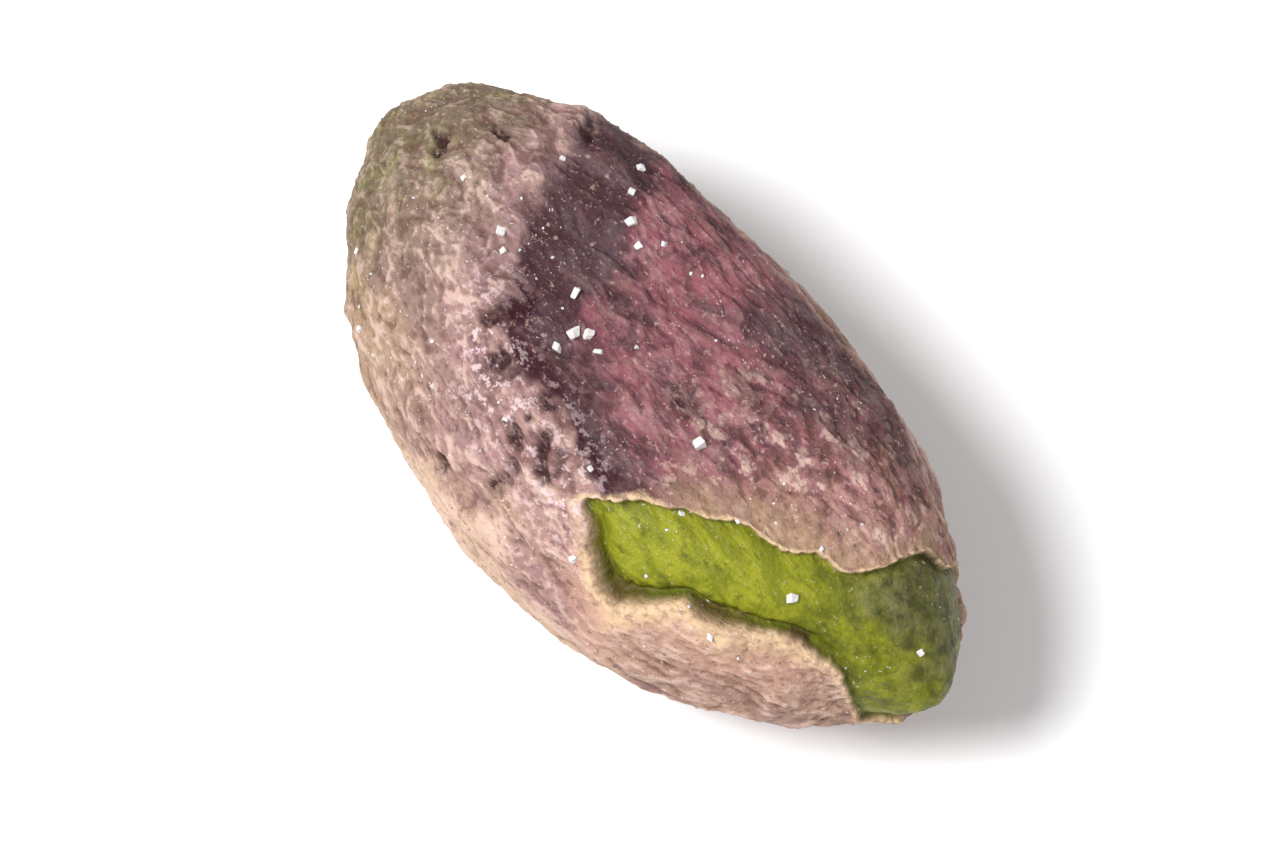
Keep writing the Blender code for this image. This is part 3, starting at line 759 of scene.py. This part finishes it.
# How strongly a fact lays its colour over those below
ASHEN_SHARE = 0.80
SANDY_SHARE = 0.50
DUSKY_SHARE = 0.65
LIT_FLANK_SHARE = 0.62
ROSY_SHARE = 0.85
DARK_BAND_SHARE = 0.92
BUFF_STRIP_SHARE = 0.70
RIM_LINE_SHARE = 0.94
FLESH_SHADE_SHARE = 0.75
CREVICE_SHADE_SHARE = 0.72

# How the surfaces take the light
TORN_ROUGHNESS = (0.0, 1.0, 0.68, 0.40)
GRAIN_ROUGHNESS = (0.3, 0.7, -0.12, 0.12)
FROST_ROUGHNESS = (0.3, 0.7, 0.30, 0.60)
SKIN_BUMP = 0.035 * MM
SKIN_BUMP_STRENGTH = 0.9
SKIN_GLOW = 0.10
SKIN_GLOW_COLOURS = (1.0, 0.6, 0.3)
SKIN_GLOW_REACH = 0.35 * MM
SKIN_SHINE = 0.13
SALT_GLOW = 0.3
SALT_GLOW_REACH = 0.20 * MM

# A mix node's sockets for colours, which have the same names as those for numbers
MIX_FIRST = 6
MIX_SECOND = 7
MIX_RESULT = 2


class Tree:
    """A material's nodes. Every call returns the output socket that the next one reads."""

    def __init__(self, name):
        self.material = bpy.data.materials.new(name)
        self.material.use_nodes = True
        self.nodes = self.material.node_tree.nodes
        self.links = self.material.node_tree.links
        self.shader = self.nodes["Principled BSDF"]
        self.place = self.nodes.new("ShaderNodeTexCoord").outputs["Object"]

    def feed(self, socket, value):
        if isinstance(value, bpy.types.NodeSocket):
            self.links.new(value, socket)
        elif isinstance(value, tuple) and len(value) == 3 and len(socket.default_value) == 4:
            socket.default_value = (*value, 1.0)
        else:
            socket.default_value = value

    def fact(self, name):
        node = self.nodes.new("ShaderNodeAttribute")
        node.attribute_name = name
        return node.outputs["Fac"]

    def blend(self, share, first, second):
        """first where share is 0, second where it is 1."""
        node = self.nodes.new("ShaderNodeMix")
        node.data_type = "RGBA"
        self.feed(node.inputs["Factor"], share)
        self.feed(node.inputs[MIX_FIRST], first)
        self.feed(node.inputs[MIX_SECOND], second)
        return node.outputs[MIX_RESULT]

    def reckon(self, operation, first, second):
        node = self.nodes.new("ShaderNodeMath")
        node.operation = operation
        self.feed(node.inputs[0], first)
        self.feed(node.inputs[1], second)
        return node.outputs[0]

    def times(self, first, second):
        return self.reckon("MULTIPLY", first, second)

    def spread(self, value, low, high, to_low=0.0, to_high=1.0):
        """value from low..high to to_low..to_high, held at both ends."""
        node = self.nodes.new("ShaderNodeMapRange")
        node.interpolation_type = "SMOOTHSTEP"
        self.feed(node.inputs["Value"], value)
        self.feed(node.inputs["From Min"], low)
        self.feed(node.inputs["From Max"], high)
        self.feed(node.inputs["To Min"], to_low)
        self.feed(node.inputs["To Max"], to_high)
        return node.outputs["Result"]

    def cloud(self, size, detail, shift, rough):
        """Noise from 0 to 1 with blobs of this size along x, y and z."""
        placing = self.nodes.new("ShaderNodeMapping")
        self.feed(placing.inputs["Vector"], self.place)
        placing.inputs["Location"].default_value = shift
        placing.inputs["Scale"].default_value = tuple(1.0 / side for side in size)
        node = self.nodes.new("ShaderNodeTexNoise")
        self.feed(node.inputs["Vector"], placing.outputs["Vector"])
        node.inputs["Scale"].default_value = 1.0
        node.inputs["Detail"].default_value = detail
        node.inputs["Roughness"].default_value = rough
        return node.outputs["Fac"]

    def bump(self, height, distance, strength):
        node = self.nodes.new("ShaderNodeBump")
        self.feed(node.inputs["Height"], height)
        node.inputs["Distance"].default_value = distance
        node.inputs["Strength"].default_value = strength
        return node.outputs["Normal"]


class Patterns:
    """The clouds that more than one colour of the skin is mottled by."""

    def __init__(self, tree):
        self.heights = tree.fact("heights")
        self.streak = tree.cloud(*STREAKS)
        self.patches = tree.cloud(*PATCHES)
        self.freckle = tree.cloud(*FRECKLES)
        self.grain = tree.cloud(*GRAIN_SPOTS)
        self.flecks = tree.cloud(*FLECKS)


def plain_skin_colour(tree, seen):
    """The skin outside the dish: mottled tan and mauve, lavender by the rim, olive at the base end, painted
    light on the lower flank and painted shade in the valleys.
    """
    mottle = tree.cloud(*MOTTLES)
    colour = tree.blend(tree.spread(mottle, *MAUVE_MOTTLES), TAN, MAUVE)
    colour = tree.blend(tree.spread(seen.streak, *BUFF_STREAKS), colour, BUFF)
    colour = tree.blend(tree.times(tree.fact("ashen"), ASHEN_SHARE), colour, ASHEN)
    green_end = tree.blend(tree.spread(seen.patches, *LEAF_PATCHES), OLIVE, LEAF)
    greened = tree.times(tree.fact("olive"), tree.spread(mottle, *OLIVE_MOTTLES))
    colour = tree.blend(greened, colour, green_end)
    colour = tree.blend(tree.times(tree.fact("sandy"), SANDY_SHARE), colour, SANDY)
    flushed = tree.times(tree.fact("lavender"), tree.spread(seen.patches, *LAVENDER_PATCHES))
    colour = tree.blend(flushed, colour, LAVENDER)
    colour = tree.blend(tree.times(tree.fact("dusky"), DUSKY_SHARE), colour, DUSK)
    # Painted light on the rounder, lower flank
    colour = tree.blend(tree.times(tree.fact("painted_flank_light"), LIT_FLANK_SHARE), colour, LIT_FLANK)
    lip = tree.fact("lip")
    colour = tree.blend(lip, colour, LIP_PINK)
    plain = tree.spread(lip, *LIP_IS_PLAINER)
    dark_spots = tree.times(plain, tree.spread(seen.freckle, *DARK_FRECKLES))
    colour = tree.blend(dark_spots, colour, VALLEY)
    colour = tree.blend(tree.spread(seen.freckle, *PALE_FRECKLES), colour, RIDGE)
    # Darker in the skin's valleys: reddish brown skin and painted shade
    sunk = tree.times(plain, tree.spread(seen.heights, *SKIN_VALLEY_SHADE))
    colour = tree.blend(sunk, colour, VALLEY)
    raised = tree.spread(seen.heights, *SKIN_RIDGES)
    raised = tree.times(raised, tree.spread(tree.fact("olive"), *OLIVE_IS_PLAINER))
    return tree.blend(raised, colour, RIDGE)


def dished_skin_colour(tree, seen):
    """The skin of the dished face: magenta, dark violet by the rim with painted shade in the fold along it
    and on the flank turned from the light, darker in its valleys with painted shade, rosy and mottled to the
    tip.
    """
    blotch = tree.cloud(*BLOTCHES)
    bloom = tree.cloud(*BLOOM_PATCHES)
    colour = tree.blend(tree.spread(blotch, *VIOLET_BLOTCHES), MAGENTA, VIOLET)
    colour = tree.blend(tree.spread(bloom, *PINK_BLOOM), colour, BLOOM)
    blots = tree.cloud(*BLOTS)
    colour = tree.blend(tree.spread(blots, *DARK_BLOTS), colour, VIOLET)
    colour = tree.blend(tree.spread(blots, *PALE_BLOTS), colour, BLOOM)
    browned = tree.blend(tree.spread(seen.streak, *MAGENTA_STREAKS), BUFF, MAGENTA)
    rosy = tree.blend(tree.spread(seen.patches, *BROWNED_PATCHES), ROSE, browned)
    colour = tree.blend(tree.times(tree.fact("rosy"), ROSY_SHARE), colour, rosy)
    mottled = tree.fact("mottled")
    dark_spots = tree.times(mottled, tree.spread(seen.freckle, *BROWN_FRECKLES))
    colour = tree.blend(dark_spots, colour, BROWN)
    pale_spots = tree.times(mottled, tree.spread(seen.freckle, *DISH_PALE_FRECKLES))
    colour = tree.blend(pale_spots, colour, RIDGE)
    # The dark band holds the violet band inside the rim and the painted shade on the flank turned from the
    # light
    dark = tree.fact("violet_band_and_flank_shade")
    band = tree.blend(tree.spread(blotch, *GREY_BLOTCHES), VIOLET, GREY_VIOLET)
    colour = tree.blend(tree.times(dark, DARK_BAND_SHARE), colour, band)
    # Darker in the skin's valleys: violet skin and painted shade
    colour = tree.blend(tree.spread(seen.heights, *DISH_VALLEY_SHADE), colour, VIOLET)
    colour = tree.blend(tree.times(tree.fact("buff_strip"), BUFF_STRIP_SHARE), colour, STRIP_BUFF)
    raised = tree.times(tree.spread(seen.heights, *DISH_RIDGES), tree.spread(dark, *DARK_BAND_RIDGES))
    colour = tree.blend(raised, colour, MAUVE)
    colour = tree.blend(tree.spread(seen.grain, *DISH_PALE_GRAIN), colour, TAN)
    # The darkest line along the rim: deep violet skin with painted shade in the fold inside the rim
    return tree.blend(tree.times(tree.fact("rim_line_violet_and_shade"), RIM_LINE_SHARE), colour, DEEP_VIOLET)


def flesh_colour(tree):
    """The bare flesh: bright green, with painted shade along its edges and round the tip, and an olive,
    mottled tone on the tip's far side.
    """
    streaks = tree.cloud(*FLESH_STREAKS)
    spots = tree.cloud(*FLESH_SPOTS)
    to_tip = tree.spread(tree.fact("rosy"), *FLESH_NEARS_TIP)
    colour = tree.blend(tree.spread(streaks, *BRIGHT_STREAKS), GREEN, BRIGHT_GREEN)
    colour = tree.blend(tree.spread(spots, *DARK_FLESH_SPOTS), colour, DARK_GREEN)
    colour = tree.blend(tree.times(tree.fact("flesh_shade"), FLESH_SHADE_SHARE), colour, DARK_GREEN)
    # Painted shade round the tip, spread in spots
    tip_shade = tree.times(to_tip, tree.spread(spots, *TIP_FLESH_SHADE_SPOTS))
    colour = tree.blend(tip_shade, colour, DARK_GREEN)
    # An olive, mottled tone on the tip's far side
    far_tip_tone = tree.blend(tree.spread(spots, *FAR_TIP_SPOTS), FAR_TIP_DARK, FAR_TIP_OLIVE)
    far_tip_toned = tree.times(tree.fact("far_tip_tone"), tree.spread(streaks, *FAR_TIP_STREAKS))
    return tree.blend(far_tip_toned, colour, far_tip_tone)


def seed_colour(tree, seen):
    """The two kinds of skin with their grain, torn edge with a painted highlight along the lip, caked salt,
    pits with painted shade, the flesh, painted shade in the crevice and seam, and salt dust.
    """
    skin = tree.blend(tree.fact("dish"), plain_skin_colour(tree, seen), dished_skin_colour(tree, seen))
    skin = tree.blend(tree.spread(seen.grain, *DARK_GRAIN), skin, VALLEY)
    grain_share = tree.spread(tree.fact("rim_line_violet_and_shade"), *RIM_LINE_PALE_GRAIN)
    pale_grain = tree.times(grain_share, tree.spread(seen.grain, *PALE_GRAIN))
    skin = tree.blend(pale_grain, skin, RIDGE)
    # The pale torn edge, with a painted highlight along the raised lip
    pale_edge = tree.times(tree.fact("torn_edge_and_lip_highlight"), tree.spread(seen.grain, *TORN_EDGE_GRAIN))
    skin = tree.blend(pale_edge, skin, CREAM)
    clumps = tree.cloud(*CLUMPS)
    caked = tree.times(tree.fact("caked"), tree.spread(clumps, *CAKED_CLUMPS))
    skin = tree.blend(caked, skin, CAKED_PINK)
    # The pits are painted near black: dark violet skin and painted shade in their hollows
    pitted = tree.times(tree.fact("pits"), tree.spread(seen.grain, *PIT_GRAIN))
    skin = tree.blend(pitted, skin, PIT_VIOLET_AND_SHADE)
    colour = tree.blend(tree.fact("torn"), skin, flesh_colour(tree))
    # Painted shade in the crevice and the seam's furrow, and darker in the scar
    colour = tree.blend(tree.times(tree.fact("crevice"), CREVICE_SHADE_SHARE), colour, CREVICE_SHADE_BROWN)
    dusted = tree.cloud(*DUST_PATCHES)
    dust = tree.times(tree.spread(seen.flecks, *DUST_FLECKS), tree.spread(dusted, *DUSTED_PATCHES))
    return tree.blend(dust, colour, SALT_WHITE)


def seed_material():
    tree = Tree("seed_skin")
    seen = Patterns(tree)
    dull = tree.spread(tree.fact("torn"), *TORN_ROUGHNESS)
    roughness = tree.reckon("ADD", dull, tree.spread(seen.grain, *GRAIN_ROUGHNESS))
    relief = tree.bump(tree.reckon("ADD", seen.grain, seen.flecks), SKIN_BUMP, SKIN_BUMP_STRENGTH)
    tree.feed(tree.shader.inputs["Base Color"], seed_colour(tree, seen))
    tree.feed(tree.shader.inputs["Roughness"], roughness)
    tree.feed(tree.shader.inputs["Normal"], relief)
    tree.shader.inputs["Subsurface Weight"].default_value = SKIN_GLOW
    tree.shader.inputs["Subsurface Radius"].default_value = SKIN_GLOW_COLOURS
    tree.shader.inputs["Subsurface Scale"].default_value = SKIN_GLOW_REACH
    tree.shader.inputs["Specular IOR Level"].default_value = SKIN_SHINE
    return tree.material


# Salt grains: the larger ones' places along and across the kernel, how many small ones lie loose and on
# what share of the kernel, their sizes from the smallest to the largest, and how deep they sit in the skin
SALT_AT = (
    (-2.04 * MM, 0.87 * MM),
    (-1.37 * MM, -0.19 * MM),
    (-1.39 * MM, 0.26 * MM),
    (-1.16 * MM, 0.48 * MM),
    (-0.77 * MM, 0.38 * MM),
    (-2.51 * MM, 2.69 * MM),
    (-3.50 * MM, 3.60 * MM),
    (5.64 * MM, -0.16 * MM),
    (-4.00 * MM, 0.60 * MM),
    (2.10 * MM, 0.60 * MM),
    (7.90 * MM, 1.00 * MM),
)
SALT_SIDES = (0.14 * MM, 0.24 * MM)
SMALL_COUNT = 46
SMALL_ALONG = (-0.38 * LENGTH, 0.34 * LENGTH)
SMALL_ACROSS = (-0.36 * WIDTH, 0.36 * WIDTH)
SMALL_SIDES = (0.05 * MM, 0.15 * MM)
SALT_SINKS = 0.38  # share of a grain's side
SALT_TILT = 0.6
SALT_WIDTHS = (0.65, 1.0)  # shares of a grain's longest side
SALT_HEIGHTS = (0.55, 0.9)
SALT_WORN = 0.21
SALT_EDGE = 0.11
SALT_SEED = 11


def salt_places(draw):
    """Each grain's place along and across the kernel, and its side."""
    places = [(x, y, draw.uniform(*SALT_SIDES)) for x, y in SALT_AT]
    for _ in range(SMALL_COUNT):
        x, y = draw.uniform(*SMALL_ALONG), draw.uniform(*SMALL_ACROSS)
        places.append((x, y, between(SMALL_SIDES, draw.random() ** 2)))
    return places


def add_grain(bm, draw, spot, facing, side):
    """One worn cube of salt, half sunk at a spot of a surface that faces this way."""
    leans = [draw.uniform(-SALT_TILT, SALT_TILT) for _ in range(2)]
    tilt = Euler([*leans, draw.uniform(0.0, math.pi)])
    stand = facing.to_track_quat("Z", "Y").to_matrix() @ tilt.to_matrix()
    shape = Matrix.Diagonal([side, side * draw.uniform(*SALT_WIDTHS), side * draw.uniform(*SALT_HEIGHTS)])
    place = Matrix.Translation(spot + facing * side * (0.5 - SALT_SINKS)) @ (stand @ shape).to_4x4()
    made = bmesh.ops.create_cube(bm, size=1.0, matrix=place)["verts"]
    for vert in made:
        vert.co += side * Vector([draw.uniform(-SALT_WORN, SALT_WORN) for _ in range(3)])
    edges = list({edge for vert in made for edge in vert.link_edges})
    bmesh.ops.bevel(bm, geom=edges, offset=SALT_EDGE * side, segments=1, affect="EDGES")


def build_salt(seed):
    """Small worn cubes of salt that lie on the upper side of the skin."""
    draw = random.Random(SALT_SEED)
    vertices = [vert.co[:] for vert in seed.data.vertices]
    skin = BVHTree.FromPolygons(vertices, [face.vertices[:] for face in seed.data.polygons])
    turn = Matrix.Rotation(ROLL, 3, "X")
    shift = Vector((-FLAT_SPOT_AT[0], -FLAT_SPOT_AT[1], REST_HEIGHT))
    bm = bmesh.new()
    for x, y, side in salt_places(draw):
        above = turn @ Vector((x, y, THICKNESS)) + shift
        spot, facing = skin.ray_cast(above, turn @ Vector((0.0, 0.0, -1.0)))[:2]
        add_grain(bm, draw, spot, facing, side)
    mesh = bpy.data.meshes.new("salt_grains")
    bm.to_mesh(mesh)
    bm.free()
    salt = bpy.data.objects.new("salt_grains", mesh)
    bpy.context.scene.collection.objects.link(salt)
    return salt


def salt_material():
    tree = Tree("salt")
    frost = tree.cloud(*FROST)
    tree.feed(tree.shader.inputs["Base Color"], tree.blend(frost, SALT_GREY, SALT_BRIGHT))
    tree.feed(tree.shader.inputs["Roughness"], tree.spread(frost, *FROST_ROUGHNESS))
    tree.shader.inputs["Subsurface Weight"].default_value = SALT_GLOW
    tree.shader.inputs["Subsurface Scale"].default_value = SALT_GLOW_REACH
    return tree.material


# The view: where the camera stands round the kernel, how far off, and how wide it sees there
CAMERA_AZIMUTH = math.radians(49.1)
CAMERA_ELEVATION = math.radians(68.0)
CAMERA_DISTANCE = 0.24
CAMERA_CLIP = 0.1 * CAMERA_DISTANCE
VIEW_WIDTH = 26.5 * MM
SENSOR_WIDTH = 36.0  # in the camera's own units, as is the lens
FLOOR_SIZE = 1.2
FLOOR_COLOUR = (0.90, 0.90, 0.90, 1.0)
FLOOR_ROUGHNESS = 0.8
WORLD_COLOUR = (1.0, 1.0, 1.0, 1.0)
WORLD_STRENGTH = 0.42


def looking_from(azimuth, elevation):
    level = math.cos(elevation)
    return Vector((math.sin(azimuth) * level, -math.cos(azimuth) * level, math.sin(elevation)))


def place_camera(low, high):
    data = bpy.data.cameras.new("camera")
    data.sensor_width = SENSOR_WIDTH
    data.lens = SENSOR_WIDTH * CAMERA_DISTANCE / VIEW_WIDTH
    data.clip_start = CAMERA_CLIP
    camera = bpy.data.objects.new("camera", data)
    back = looking_from(CAMERA_AZIMUTH, CAMERA_ELEVATION)
    camera.location = (low + high) / 2 + back * CAMERA_DISTANCE
    camera.rotation_euler = back.to_track_quat("Z", "Y").to_euler()
    bpy.context.scene.collection.objects.link(camera)
    bpy.context.scene.camera = camera


def add_floor():
    mesh = bpy.data.meshes.new("floor")
    half = 0.5 * FLOOR_SIZE
    corners = [(-half, -half, 0.0), (half, -half, 0.0), (half, half, 0.0), (-half, half, 0.0)]
    mesh.from_pydata(corners, [], [(0, 1, 2, 3)])
    floor = bpy.data.objects.new("floor", mesh)
    material = bpy.data.materials.new("floor")
    material.use_nodes = True
    shader = material.node_tree.nodes["Principled BSDF"]
    shader.inputs["Base Color"].default_value = FLOOR_COLOUR
    shader.inputs["Roughness"].default_value = FLOOR_ROUGHNESS
    mesh.materials.append(material)
    bpy.context.scene.collection.objects.link(floor)


def add_light(name, azimuth, elevation, distance, size, energy):
    data = bpy.data.lights.new(name, "AREA")
    data.shape = "DISK"
    data.size = size
    data.energy = energy
    light = bpy.data.objects.new(name, data)
    back = looking_from(math.radians(azimuth), math.radians(elevation))
    light.location = back * distance
    light.rotation_euler = back.to_track_quat("Z", "Y").to_euler()
    bpy.context.scene.collection.objects.link(light)


def add_lights():
    add_light("key", azimuth=334.0, elevation=57.0, distance=0.55, size=0.24, energy=4.0)
    add_light("fill", azimuth=130.0, elevation=40.0, distance=0.60, size=0.50, energy=0.8)
    world = bpy.data.worlds.new("studio")
    world.use_nodes = True
    background = world.node_tree.nodes["Background"]
    background.inputs["Color"].default_value = WORLD_COLOUR
    background.inputs["Strength"].default_value = WORLD_STRENGTH
    bpy.context.scene.world = world
    bpy.context.scene.view_settings.view_transform = "Standard"


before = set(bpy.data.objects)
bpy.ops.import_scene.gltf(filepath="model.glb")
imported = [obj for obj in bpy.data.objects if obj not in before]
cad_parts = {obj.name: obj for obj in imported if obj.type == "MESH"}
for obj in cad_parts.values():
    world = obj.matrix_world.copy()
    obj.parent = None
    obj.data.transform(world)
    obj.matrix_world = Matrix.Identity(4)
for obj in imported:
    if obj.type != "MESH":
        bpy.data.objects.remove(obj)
solid_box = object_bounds()

seed_piece = build_seed()
seed_piece.data.materials.append(seed_material())
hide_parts("kernel")
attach(seed_piece, "root")

salt_piece = build_salt(seed_piece)
salt_piece.data.materials.append(salt_material())
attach(salt_piece, "root")

add_floor()
add_lights()
place_camera(*solid_box)
